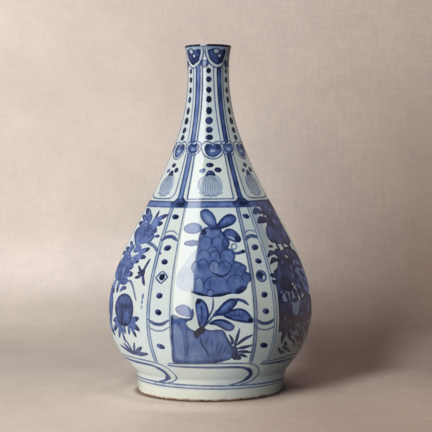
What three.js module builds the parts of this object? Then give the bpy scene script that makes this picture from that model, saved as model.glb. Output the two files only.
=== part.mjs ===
// A pear-shaped porcelain bottle vase with six moulded panels, a round foot and a round mouth.
// It is potted as the real one is: five clay sections, pressed or thrown one by one, are stacked
// on a common axis and luted edge to edge with rings of liquid clay (slip) before firing.
// Millimetres, +Z up, origin in the middle of the foot's standing face. One panel faces -Y.

import * as THREE from "three";

// Heights of the sections and their stretches, from the foot upwards
const FOOT_RING_HEIGHT = 9;
const FOOT_BAND_HEIGHT = 9;
const BOWL_HEIGHT = 49.5;
const UPPER_BODY_HEIGHT = 90.5;
const SHOULDER_HEIGHT = 49;
const NECK_HEIGHT = 61;
const MOUTH_HEIGHT = 22;

// Outer radii, measured to the corners between the panels
const FOOT_RADIUS = 61.2;
const FOOT_BAND_RADIUS = 63.8;
const BELLY_RADIUS = 86;
const SHOULDER_RADIUS = 52;
const COLLAR_RADIUS = 29;
const NECK_RADIUS = 17.5;
const MOUTH_RADIUS = 19.7;

// How fast the outer radius grows with height where the stretches meet
const BOWL_FLARE = 1.0;
const SHOULDER_FLARE = -0.57;
const COLLAR_FLARE = -0.39;
const MOUTH_FLARE = 0.26;

// Clay thicknesses, measured level
const FLOOR_THICKNESS = 6;
const FOOT_RING_WIDTH = 6.5;
const BOWL_WALL = 6;
const BELLY_WALL = 4.6;
const SHOULDER_WALL = 4.6;
const COLLAR_WALL = 4.2;
const NECK_WALL = 3.7;
const LIP_WALL = 2.6;

// Small edges
const FOOT_CHAMFER = 1.2;
const LIP_ROUNDING = 1.0;
const FLOOR_FILLET = 7;

// Slip joints: the layer between two sections, and how far it is squeezed out inside
const SLIP_THICKNESS = 0.8;
const SLIP_BEAD = 1.0;

// Moulded panels: flat between their corners at a flatness of 1, fully round at 0
const PANELS = 6;
const COLUMN_ANGLE = THREE.MathUtils.degToRad(15);
const BODY_FLATNESS = 0.75;
const NECK_FLATNESS = 0.5;
const FACET_RISE = 20;
const FACET_FADE = 16;

// Fineness of the solids
const SEGMENTS = 48;
const RISE_PER_STEP = 10;
const FILLET_STEPS = 3;

// Levels of the seams and of the stations of the outline
const Z_FOOT_SEAM = FOOT_RING_HEIGHT;
const Z_BAND = Z_FOOT_SEAM + FOOT_BAND_HEIGHT;
const Z_BELLY = Z_BAND + BOWL_HEIGHT;
const Z_SHOULDER = Z_BELLY + UPPER_BODY_HEIGHT;
const Z_COLLAR = Z_SHOULDER + SHOULDER_HEIGHT;
const Z_NECK = Z_COLLAR + NECK_HEIGHT;
const Z_MOUTH = Z_NECK + MOUTH_HEIGHT;
const FOOT_TAPER = (FOOT_BAND_RADIUS - FOOT_RADIUS) / Z_BAND;

// The outline's stations: radius, growth below and above, and wall thickness
const station = (z, radius, below, above, wall) => ({ z, radius, below, above, wall });
const STATIONS = [
  station(0, FOOT_RADIUS, FOOT_TAPER, FOOT_TAPER, FOOT_RING_WIDTH),
  station(Z_BAND, FOOT_BAND_RADIUS, FOOT_TAPER, BOWL_FLARE, BOWL_WALL),
  station(Z_BELLY, BELLY_RADIUS, 0, 0, BELLY_WALL),
  station(Z_SHOULDER, SHOULDER_RADIUS, SHOULDER_FLARE, SHOULDER_FLARE, SHOULDER_WALL),
  station(Z_COLLAR, COLLAR_RADIUS, COLLAR_FLARE, COLLAR_FLARE, COLLAR_WALL),
  station(Z_NECK, NECK_RADIUS, 0, 0, NECK_WALL),
  station(Z_MOUTH, MOUTH_RADIUS, MOUTH_FLARE, MOUTH_FLARE, LIP_WALL),
];

// The two stations around a level, and how far the level lies between them
function stretchAt(z) {
  const top = STATIONS.length - 1;
  const next = STATIONS.findIndex((mark, i) => mark.z > z || i === top);
  const start = STATIONS[next - 1];
  const end = STATIONS[next];
  return { start, end, share: (z - start.z) / (end.z - start.z) };
}

// Outer radius at a level: a cubic curve from station to station
function radiusAt(z) {
  const { start, end, share } = stretchAt(z);
  const third = (end.z - start.z) / 3;
  const curve = new THREE.CubicBezierCurve(
    new THREE.Vector2(start.radius, start.z),
    new THREE.Vector2(start.radius + start.above * third, start.z + third),
    new THREE.Vector2(end.radius - end.below * third, end.z - third),
    new THREE.Vector2(end.radius, end.z),
  );
  return curve.getPoint(share).x;
}

// Wall thickness at a level, measured level
function wallAt(z) {
  const { start, end, share } = stretchAt(z);
  return THREE.MathUtils.lerp(start.wall, end.wall, share);
}

// How flat the panels are at a level: round at the foot and the mouth, softer on the neck
function flatnessAt(z) {
  const rise = THREE.MathUtils.smoothstep(z, Z_BAND, Z_BAND + FACET_RISE);
  const fade = THREE.MathUtils.smoothstep(z, Z_MOUTH - FACET_FADE, Z_MOUTH);
  const neck = THREE.MathUtils.smoothstep(z, Z_SHOULDER, Z_NECK);
  return THREE.MathUtils.lerp(BODY_FLATNESS, NECK_FLATNESS, neck) * rise * (1 - fade);
}

// Radius of the flat-sided outline at an angle from a panel's middle, with corners at radius 1
function facetRadius(angle) {
  const pitch = (2 * Math.PI) / PANELS;
  const fromPanel = Math.abs(angle - pitch * Math.round(angle / pitch));
  const panelHalf = (pitch - COLUMN_ANGLE) / 2;
  if (fromPanel <= panelHalf) {
    return Math.cos(panelHalf) / Math.cos(fromPanel);
  }
  return Math.cos(COLUMN_ANGLE / 2) / Math.cos(pitch / 2 - fromPanel);
}

// Presses the panels into a round piece
function pressPanels(geometry) {
  const position = geometry.getAttribute("position");
  for (let i = 0; i < position.count; i += 1) {
    const x = position.getX(i);
    const y = position.getY(i);
    const z = position.getZ(i);
    const pressed = 1 - flatnessAt(z) * (1 - facetRadius(Math.atan2(x, -y)));
    position.setXY(i, x * pressed, y * pressed);
  }
  return geometry;
}

// Turns a profile of [radius, level] points about the axis and presses the panels in
function turned(name, profile, material) {
  const points = profile.map(([radius, z]) => new THREE.Vector2(radius, z));
  const geometry = new THREE.LatheGeometry(points, SEGMENTS).rotateX(Math.PI / 2);
  const mesh = new THREE.Mesh(pressPanels(geometry), material);
  mesh.name = name;
  return mesh;
}

// Levels from one height to another in even steps, both ends included
function levels(low, high) {
  const count = Math.max(1, Math.ceil((high - low) / RISE_PER_STEP));
  return Array.from({ length: count + 1 }, (_, i) => THREE.MathUtils.lerp(low, high, i / count));
}

const outerPoint = (z) => [radiusAt(z), z];
const innerPoint = (z) => [radiusAt(z) - wallAt(z), z];

// A closed ring of wall between two levels
function wallProfile(low, high) {
  const outside = levels(low, high).map(outerPoint);
  const inside = levels(low, high).reverse().map(innerPoint);
  return [...outside, ...inside, outside[0]];
}

// The layer of slip between two sections, flush outside and squeezed out inside
function slipProfile(low, innerRadius) {
  const high = low + SLIP_THICKNESS;
  const middle = low + SLIP_THICKNESS / 2;
  const start = outerPoint(low);
  return [
    start,
    outerPoint(high),
    [innerRadius(high), high],
    [innerRadius(middle) - SLIP_BEAD, middle],
    [innerRadius(low), low],
    start,
  ];
}

const wallInside = (z) => innerPoint(z)[0];
const footInside = () => FOOT_RADIUS - FOOT_RING_WIDTH;

// Each seam's lower face; the section above starts on its upper face
const Z_BELLY_SEAM = Z_BELLY - SLIP_THICKNESS / 2;
const Z_SHOULDER_SEAM = Z_SHOULDER - SLIP_THICKNESS / 2;
const Z_COLLAR_SEAM = Z_COLLAR - SLIP_THICKNESS / 2;
const above = (seam) => seam + SLIP_THICKNESS;

// The thrown foot ring: a plain upright ring, chamfered where it stands
function footRingProfile() {
  const inside = footInside();
  const standing = [FOOT_RADIUS - FOOT_CHAMFER, 0];
  return [
    standing,
    outerPoint(FOOT_CHAMFER),
    outerPoint(Z_FOOT_SEAM),
    [inside, Z_FOOT_SEAM],
    [inside, FOOT_CHAMFER],
    [inside + FOOT_CHAMFER, 0],
    standing,
  ];
}

// The lower body: a closed floor, the upright foot band and the bowl up to the belly
function lowerBodyProfile() {
  const under = above(Z_FOOT_SEAM);
  const floor = under + FLOOR_THICKNESS;
  const filletTop = floor + FLOOR_FILLET;
  const wallFoot = wallInside(filletTop);
  const fillet = Array.from({ length: FILLET_STEPS + 1 }, (_, i) => {
    const turn = (Math.PI / 2) * (i / FILLET_STEPS);
    return [wallFoot - FLOOR_FILLET * (1 - Math.cos(turn)), filletTop - FLOOR_FILLET * Math.sin(turn)];
  });
  return [
    [0, under],
    outerPoint(under),
    ...levels(Z_BAND, Z_BELLY_SEAM).map(outerPoint),
    ...levels(filletTop, Z_BELLY_SEAM).reverse().slice(0, -1).map(innerPoint),
    ...fillet,
    [0, floor],
  ];
}

// The neck with its everted, rounded lip
function neckProfile() {
  const low = above(Z_COLLAR_SEAM);
  const lipFoot = Z_MOUTH - LIP_ROUNDING;
  const outside = levels(low, lipFoot).map(outerPoint);
  const inside = levels(low, lipFoot).reverse().map(innerPoint);
  const lip = [
    [MOUTH_RADIUS - LIP_ROUNDING, Z_MOUTH],
    [MOUTH_RADIUS - LIP_WALL + LIP_ROUNDING, Z_MOUTH],
  ];
  return [...outside, ...lip, ...inside, outside[0]];
}

const glazedPorcelain = new THREE.MeshStandardMaterial({ color: 0xd8dfdc, roughness: 0.12, metalness: 0 });
const footClay = new THREE.MeshStandardMaterial({ color: 0xcfc7b6, roughness: 0.6, metalness: 0 });
const driedSlip = new THREE.MeshStandardMaterial({ color: 0xe2ddd0, roughness: 0.7, metalness: 0 });

const vase = new THREE.Group();
vase.add(
  turned("foot_ring", footRingProfile(), footClay),
  turned("foot_seam", slipProfile(Z_FOOT_SEAM, footInside), driedSlip),
  turned("lower_body", lowerBodyProfile(), glazedPorcelain),
  turned("belly_seam", slipProfile(Z_BELLY_SEAM, wallInside), driedSlip),
  turned("upper_body", wallProfile(above(Z_BELLY_SEAM), Z_SHOULDER_SEAM), glazedPorcelain),
  turned("shoulder_seam", slipProfile(Z_SHOULDER_SEAM, wallInside), driedSlip),
  turned("shoulder", wallProfile(above(Z_SHOULDER_SEAM), Z_COLLAR_SEAM), glazedPorcelain),
  turned("collar_seam", slipProfile(Z_COLLAR_SEAM, wallInside), driedSlip),
  turned("neck", neckProfile(), glazedPorcelain),
);

export default vase;
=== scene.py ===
# A pear-shaped porcelain bottle vase with six moulded panels, painted in cobalt blue under the glaze.
# Metres, +Z up, one panel facing -Y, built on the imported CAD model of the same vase.
# The sections follow the order in which the vase is potted, from the foot to the lip.

import math

import bmesh
import bpy
import numpy as np
from mathutils import Matrix, Vector


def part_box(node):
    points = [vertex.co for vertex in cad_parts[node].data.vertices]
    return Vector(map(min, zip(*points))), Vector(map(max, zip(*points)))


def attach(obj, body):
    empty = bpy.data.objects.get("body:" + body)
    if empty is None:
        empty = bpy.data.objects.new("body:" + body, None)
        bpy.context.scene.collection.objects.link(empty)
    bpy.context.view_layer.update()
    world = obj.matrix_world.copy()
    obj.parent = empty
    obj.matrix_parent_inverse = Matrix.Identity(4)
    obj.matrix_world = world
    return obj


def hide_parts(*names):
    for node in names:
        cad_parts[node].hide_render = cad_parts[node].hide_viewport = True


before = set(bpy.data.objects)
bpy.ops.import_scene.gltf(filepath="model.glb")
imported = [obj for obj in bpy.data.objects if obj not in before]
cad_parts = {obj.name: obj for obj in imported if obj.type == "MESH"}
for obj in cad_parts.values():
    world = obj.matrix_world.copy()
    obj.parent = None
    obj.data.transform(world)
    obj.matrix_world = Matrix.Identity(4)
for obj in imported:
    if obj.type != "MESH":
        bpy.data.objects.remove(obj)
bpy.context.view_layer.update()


# Foot ring
# A thrown and turned ring of porcelain clay that carries the vase. It is stuck with slip under the floor
# of the body and glazed with it; the edge that it stands on is wiped bare before firing and burns brown.
MM = 0.001

# The whole vase's outline in millimetres, to the corners between the panels: at each marked level the
# radius, how fast it grows with height below and above, and the thickness of the wall
FOOT_BAND_TOP = 18
BELLY_LEVEL = 67.5
SHOULDER_LEVEL = 158
COLLAR_LEVEL = 207
NECK_LEVEL = 268
MOUTH_LEVEL = 290
OUTLINE_LEVELS = np.array([0, FOOT_BAND_TOP, BELLY_LEVEL, SHOULDER_LEVEL, COLLAR_LEVEL, NECK_LEVEL,
                           MOUTH_LEVEL])
OUTLINE_RADII = np.array([61.2, 63.8, 86, 52, 29, 17.5, 19.7])
FOOT_TAPER = (OUTLINE_RADII[1] - OUTLINE_RADII[0]) / FOOT_BAND_TOP
GROWTH_BELOW = np.array([FOOT_TAPER, FOOT_TAPER, 0, -0.57, -0.39, 0, 0.26])
GROWTH_ABOVE = np.array([FOOT_TAPER, 1, 0, -0.57, -0.39, 0, 0.26])
WALL_THICKNESS = np.array([6.5, 6, 4.6, 4.6, 4.2, 3.7, 2.6])


def outer_radius(level):
    """Radius of the outside at a level: a cubic curve from one marked level to the next."""
    start = np.clip(np.searchsorted(OUTLINE_LEVELS, level, side="right") - 1, 0, len(OUTLINE_LEVELS) - 2)
    end = start + 1
    height = OUTLINE_LEVELS[end] - OUTLINE_LEVELS[start]
    share = (level - OUTLINE_LEVELS[start]) / height
    rest = 1 - share
    leaving = OUTLINE_RADII[start] + GROWTH_ABOVE[start] * height / 3
    arriving = OUTLINE_RADII[end] - GROWTH_BELOW[end] * height / 3
    middle = 3 * rest ** 2 * share * leaving + 3 * rest * share ** 2 * arriving
    return rest ** 3 * OUTLINE_RADII[start] + middle + share ** 3 * OUTLINE_RADII[end]


def inner_radius(level):
    return outer_radius(level) - np.interp(level, OUTLINE_LEVELS, WALL_THICKNESS)


def rows(radius_at, start, end, spacing):
    """Points of a profile, (radius, level), from one level to another."""
    count = max(1, round(abs(end - start) / spacing))
    levels = np.linspace(start, end, count + 1)
    return list(zip(radius_at(levels), levels))


TURNED_SECTORS = 12
WELD_DISTANCE = 0.001 * MM
RING_TOLERANCE = 0.01 * MM


def turned(profile, steps, closed=True):
    """Turns a profile about the vase's axis. An open profile starts and ends on the axis."""
    form = bmesh.new()
    corners = [form.verts.new((radius * MM, 0, level * MM)) for radius, level in profile]
    following = corners[1:] + corners[:1] if closed else corners[1:]
    edges = [form.edges.new(ends) for ends in zip(corners, following)]
    sector = 2 * math.pi / TURNED_SECTORS
    bmesh.ops.spin(form, geom=corners + edges, cent=(0, 0, 0), axis=(0, 0, 1), angle=sector,
                   steps=steps // TURNED_SECTORS)
    bmesh.ops.spin(form, geom=form.verts[:] + form.edges[:] + form.faces[:], cent=(0, 0, 0), axis=(0, 0, 1),
                   angle=2 * math.pi - sector, steps=TURNED_SECTORS - 1, use_duplicate=True)
    bmesh.ops.remove_doubles(form, verts=form.verts, dist=WELD_DISTANCE)
    bmesh.ops.recalc_face_normals(form, faces=form.faces)
    return form


def round_edge(form, radius, level, size, segments=4):
    """Rounds the sharp ring at a radius and level of a turned form."""
    def on_ring(corner):
        off_radius = math.hypot(corner.co.x, corner.co.y) - radius * MM
        return math.hypot(off_radius, corner.co.z - level * MM) < RING_TOLERANCE

    ring = [edge for edge in form.edges if on_ring(edge.verts[0]) and on_ring(edge.verts[1])]
    bmesh.ops.bevel(form, geom=ring, offset=size * MM, offset_type="OFFSET", affect="EDGES",
                    segments=segments, profile=0.5, material=-1)


def smooth_step(value, low, high):
    share = np.clip((value - low) / (high - low), 0, 1)
    return share * share * (3 - 2 * share)


# The mould's flat sides: they come in above the foot band and fade out below the mouth
PANELS = 6
PANEL_PITCH = math.radians(360 / PANELS)
PANEL_HALF = math.radians(22.5)
COLUMN_HALF = math.radians(7.5)
CORNER_SOFTNESS = math.radians(1.3)
BODY_FLATNESS = 0.75
NECK_FLATNESS = 0.5
FACET_RISE = 20
FACET_FADE = 16


def flat_sided(angle):
    """Radius of the flat-sided section at an angle from a panel's middle, with its corners at radius 1."""
    off_panel = np.abs(angle - PANEL_PITCH * np.round(angle / PANEL_PITCH))
    panel = math.cos(PANEL_HALF) / np.cos(off_panel)
    column = math.cos(COLUMN_HALF) / np.cos(PANEL_PITCH / 2 - off_panel)
    return np.where(off_panel <= PANEL_HALF, panel, column)


def pressed(angle, level):
    """How far the mould presses the round form in at a place: softly at the corners, not at foot and lip."""
    softened = np.mean([flat_sided(angle + CORNER_SOFTNESS * step) for step in np.linspace(-1, 1, 9)], axis=0)
    up_the_neck = smooth_step(level, SHOULDER_LEVEL, NECK_LEVEL)
    flatness = BODY_FLATNESS + (NECK_FLATNESS - BODY_FLATNESS) * up_the_neck
    flatness = flatness * smooth_step(level, FOOT_BAND_TOP, FOOT_BAND_TOP + FACET_RISE)
    flatness = flatness * (1 - smooth_step(level, MOUTH_LEVEL - FACET_FADE, MOUTH_LEVEL))
    return 1 - flatness * (1 - softened)


SHARP_ANGLE = math.radians(40)


def places_of(mesh):
    places = np.empty(len(mesh.vertices) * 3, np.float32)
    mesh.vertices.foreach_get("co", places)
    return places.reshape(-1, 3)


def piece(name, form, node, material):
    """Makes a turned form into a piece of the vase that stands for a CAD node."""
    mesh = bpy.data.meshes.new(name)
    form.to_mesh(mesh)
    form.free()
    places = places_of(mesh)
    angle = np.arctan2(places[:, 0], -places[:, 1])
    places[:, :2] *= pressed(angle, places[:, 2] / MM)[:, None]
    mesh.vertices.foreach_set("co", places.ravel())
    mesh.shade_smooth()
    mesh.set_sharp_from_angle(angle=SHARP_ANGLE)
    mesh.materials.append(material)
    made = bpy.data.objects.new(name, mesh)
    bpy.context.scene.collection.objects.link(made)
    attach(made, "root")
    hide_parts(node)
    return made


class Value:
    """What a shader node gives: a number, a colour or a place. Sums and products of values are nodes too."""

    def __init__(self, socket):
        self.socket = socket
        self.tree = socket.id_data

    def reckon(self, operation, *others):
        inputs = dict(enumerate((self, *others)))
        return Value(add_node(self.tree, "ShaderNodeMath", inputs, operation=operation).outputs[0])

    def __add__(self, other):
        return self.reckon("ADD", other)

    def __sub__(self, other):
        return self.reckon("SUBTRACT", other)

    def __mul__(self, other):
        return self.reckon("MULTIPLY", other)

    def __truediv__(self, other):
        return self.reckon("DIVIDE", other)

    def eased(self, low, high, start=0.0, end=1.0):
        """A soft step from start to end as the value goes from low to high."""
        inputs = {"Value": self, "From Min": low, "From Max": high, "To Min": start, "To Max": end}
        made = add_node(self.tree, "ShaderNodeMapRange", inputs, interpolation_type="SMOOTHSTEP")
        return Value(made.outputs["Result"])

    def fading(self, low, high):
        """A soft step from 1 down to 0."""
        return self.eased(low, high, 1.0, 0.0)


def fill(node, inputs):
    """Gives a node's inputs plain values, or links them to what other nodes give."""
    for name, value in inputs.items():
        if isinstance(value, Value):
            node.id_data.links.new(value.socket, node.inputs[name])
        else:
            node.inputs[name].default_value = value


def add_node(tree, kind, inputs=None, **settings):
    made = tree.nodes.new(kind)
    for name, value in settings.items():
        setattr(made, name, value)
    fill(made, inputs or {})
    return made


def noise(place, scale, detail=2.0, roughness=0.5):
    """Noise between 0 and 1; scale is in waves a metre."""
    inputs = {"Vector": place, "Scale": scale, "Detail": detail, "Roughness": roughness}
    return Value(add_node(place.tree, "ShaderNodeTexNoise", inputs).outputs["Fac"])


def stretched(place, *scale):
    return Value(add_node(place.tree, "ShaderNodeMapping", {"Vector": place, "Scale": scale}).outputs[0])


def split(place):
    return [Value(socket) for socket in add_node(place.tree, "ShaderNodeSeparateXYZ", {0: place}).outputs]


def mix(share, first, second, blend="MIX"):
    """A colour between two, by a share of the second."""
    tree = next(value.tree for value in (share, first, second) if isinstance(value, Value))
    inputs = {0: share, 6: first, 7: second}
    made = add_node(tree, "ShaderNodeMix", inputs, data_type="RGBA", blend_type=blend)
    return Value(made.outputs[2])


def bump(height, strength, distance):
    """The normal of a surface with a relief; distance is in millimetres."""
    inputs = {"Strength": strength, "Distance": distance * MM, "Height": height}
    return Value(add_node(height.tree, "ShaderNodeBump", inputs).outputs["Normal"])


def new_material(name):
    """A material with a Principled shader and the piece's own coordinates."""
    material = bpy.data.materials.new(name)
    material.use_nodes = True
    tree = material.node_tree
    place = Value(tree.nodes.new("ShaderNodeTexCoord").outputs["Object"])
    return material, tree.nodes["Principled BSDF"], place


# The glaze: bluish white and glossy, a little uneven in colour and thickness, with a few specks of iron
IRON_SPECK = (0.20, 0.13, 0.075, 1)
glaze_coat = bpy.data.node_groups.new("glaze_coat", "ShaderNodeTree")
for socket_name, way, socket_kind in (
        ("Place", "INPUT", "NodeSocketVector"), ("Thin Glaze", "INPUT", "NodeSocketColor"),
        ("Pooled Glaze", "INPUT", "NodeSocketColor"), ("Colour", "OUTPUT", "NodeSocketColor"),
        ("Roughness", "OUTPUT", "NodeSocketFloat"), ("Height", "OUTPUT", "NodeSocketFloat")):
    glaze_coat.interface.new_socket(socket_name, in_out=way, socket_type=socket_kind)
coat_inputs = glaze_coat.nodes.new("NodeGroupInput").outputs
coat_place = Value(coat_inputs["Place"])
thin_glaze = Value(coat_inputs["Thin Glaze"])
pooled_glaze = Value(coat_inputs["Pooled Glaze"])
cloud = noise(coat_place, 22, 3)
coat_colour = mix(cloud.eased(0.35, 0.68), thin_glaze, pooled_glaze)
speck_inputs = {"Vector": coat_place, "Scale": 70, "Randomness": 1.0}
speck = add_node(glaze_coat, "ShaderNodeTexVoronoi", speck_inputs).outputs
speck_kind = add_node(glaze_coat, "ShaderNodeSeparateColor", {"Color": Value(speck["Color"])}).outputs["Red"]
speck_reach = Value(speck_kind).eased(0.8, 1.0, 0.0, 0.055)
speck_near = Value(speck["Distance"]).reckon("LESS_THAN", speck_reach)
ripple = noise(coat_place, 130, 2)
orange_peel = noise(coat_place, 520, 1)
fill(glaze_coat.nodes.new("NodeGroupOutput"),
     {"Colour": mix(speck_near * 0.75, coat_colour, IRON_SPECK),
      "Roughness": cloud.eased(0.3, 0.75, 0.05, 0.1), "Height": ripple + orange_peel * 0.22})

BODY_GLAZE = ((0.712, 0.785, 0.758, 1), (0.662, 0.765, 0.80, 1))
# The foot's glaze is lighter and warmer than the body's; part of that is painted light, for what the paper
# throws up on the foot
FOOT_GLAZE = ((0.80, 0.835, 0.755, 1), (0.75, 0.81, 0.775, 1))
GLAZE_IOR = 1.56
GLAZE_RELIEF = 0.12
GLAZE_DEPTH = 0.4


def place_coat(shader, place, thin, pooled):
    """Places the glaze in a material, with its colours where it is thin and where it is pooled."""
    shader.inputs["IOR"].default_value = GLAZE_IOR
    inputs = {"Place": place, "Thin Glaze": thin, "Pooled Glaze": pooled}
    coat = add_node(place.tree, "ShaderNodeGroup", inputs, node_tree=glaze_coat)
    return [Value(coat.outputs[name]) for name in ("Colour", "Roughness", "Height")]


foot_material, shader, place = new_material("foot_glaze_and_bare_edge")
glaze, glaze_roughness, glaze_height = place_coat(shader, place, *FOOT_GLAZE)
BURNT_GLAZE = (0.46, 0.31, 0.19, 1)
CLAY_DARK = (0.07, 0.042, 0.026, 1)
CLAY_BROWN = (0.33, 0.20, 0.115, 1)
level = split(place)[2]
wiped = noise(place, 200, 4, 0.7) * (-4.0 * MM) + level
bare = wiped.fading(-0.7 * MM, -0.3 * MM)
burnt = wiped.fading(-0.4 * MM, 0.9 * MM)
grit = noise(place, 900, 3, 0.6)
chip = noise(place, 95, 2).eased(0.6, 0.66) * level.fading(1.2 * MM, 2.6 * MM)
clay_colour = mix(grit.eased(0.35, 0.65), CLAY_DARK, CLAY_BROWN)
foot_colour = mix(bare, mix(burnt * 0.7, glaze, BURNT_GLAZE), clay_colour)
fill(shader, {"Base Color": mix(chip, foot_colour, CLAY_DARK),
              "Roughness": glaze_roughness.reckon("MAXIMUM", bare * 0.75),
              "Normal": bump(glaze_height + grit * bare * 3.0, GLAZE_RELIEF, GLAZE_DEPTH)})

FOOT_INSIDE = 54.7
FOOT_ROUNDING = 1.2
FOOT_STEPS = 360
FOOT_ROW = 1.2


def joint_level(node):
    """The level of the middle of a joint between two sections."""
    return sum(corner.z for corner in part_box(node)) / 2 / MM


foot_joint = joint_level("foot_seam")
foot_profile = [*rows(outer_radius, 0, foot_joint, FOOT_ROW), (FOOT_INSIDE, foot_joint), (FOOT_INSIDE, 0)]
foot_form = turned(foot_profile, FOOT_STEPS)
for edge_radius in (outer_radius(0), FOOT_INSIDE):
    round_edge(foot_form, edge_radius, 0, FOOT_ROUNDING)
piece("foot_ring_glazed", foot_form, "foot_ring", foot_material)


# Foot slip
# Liquid clay that sticks the foot ring to the floor of the body. It is squeezed out into the corner
# inside the ring, wiped with a finger and fired matt, so it shows only from below.
slip_material, shader, place = new_material("fired_slip")
SLIP_PALE = (0.71, 0.68, 0.61, 1)
SLIP_GREY = (0.52, 0.485, 0.42, 1)
slip_grain = noise(place, 700, 4, 0.6)
slip_drag = noise(stretched(place, 1, 1, 8), 90, 3)
slip_tone = slip_grain * 0.5 + slip_drag * 0.5
fill(shader, {"Base Color": mix(slip_tone.eased(0.35, 0.65), SLIP_GREY, SLIP_PALE),
              "Roughness": slip_grain.eased(0.3, 0.7, 0.62, 0.85),
              "Normal": bump(slip_tone, strength=0.3, distance=0.5)})

SLIP_BEAD = 1.0
SLIP_HALF_HEIGHT = 1.5
SLIP_BEDDING = 0.4
SLIP_STEPS = 180


def slip_bead(name, node):
    """A bead of slip squeezed out along the joint between two sections, inside the vase."""
    joint = joint_level(node)
    bead = []
    for turn in np.linspace(-math.pi / 2, math.pi / 2, 9):
        at = joint + SLIP_HALF_HEIGHT * math.sin(turn)
        bead.append((inner_radius(at) - SLIP_BEAD * math.cos(turn), at))
    low, high = joint - SLIP_HALF_HEIGHT, joint + SLIP_HALF_HEIGHT
    bead += [(inner_radius(high) + SLIP_BEDDING, high), (inner_radius(low) + SLIP_BEDDING, low)]
    piece(name, turned(bead, SLIP_STEPS), node, slip_material)


FILLET = 2.2
fillet_profile = [(FOOT_INSIDE + SLIP_BEDDING, foot_joint + SLIP_BEDDING)]
for turn in np.linspace(0, math.pi / 2, 7):
    off_ring = FILLET * (1 - math.sin(turn))
    off_floor = FILLET * (1 - math.cos(turn))
    fillet_profile.append((FOOT_INSIDE - off_ring, foot_joint - off_floor))
piece("foot_slip", turned(fillet_profile, SLIP_STEPS), "foot_seam", slip_material)


# Lower body
# The floor, the upright foot band and the lower half of the belly, pressed in a mould with six panels.
# It is painted with a brush in cobalt on the raw clay, then dipped in glaze and fired.

# The strengths of cobalt used most; and, in millimetres, how far from a stroke the clay counts as clear of it
MID = 0.56
DEEP = 0.76
DARK = 0.92
CLEAR = 6.0
LAYERS = ("wash", "line")
FACE_REACH = math.radians(55)
ARC_STEP = 30
TINY = 1e-9


def smooth_path(points, closed=False, per_span=6):
    """A smooth curve through a few points."""
    given = np.array(points, float)
    if closed:
        ends = np.vstack([given[-1:], given, given[:2]])
    else:
        ends = np.vstack([2 * given[:1] - given[1:2], given, 2 * given[-1:] - given[-2:-1]])
    curve = []
    for before, start, end, after in zip(ends, ends[1:], ends[2:], ends[3:]):
        for share in np.arange(per_span) / per_span:
            bend = (end - before) * share + (2 * before - 5 * start + 4 * end - after) * share ** 2
            curve.append(start + (bend + (3 * start - before - 3 * end + after) * share ** 3) / 2)
    curve.append(ends[-2])
    return np.array(curve)


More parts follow.
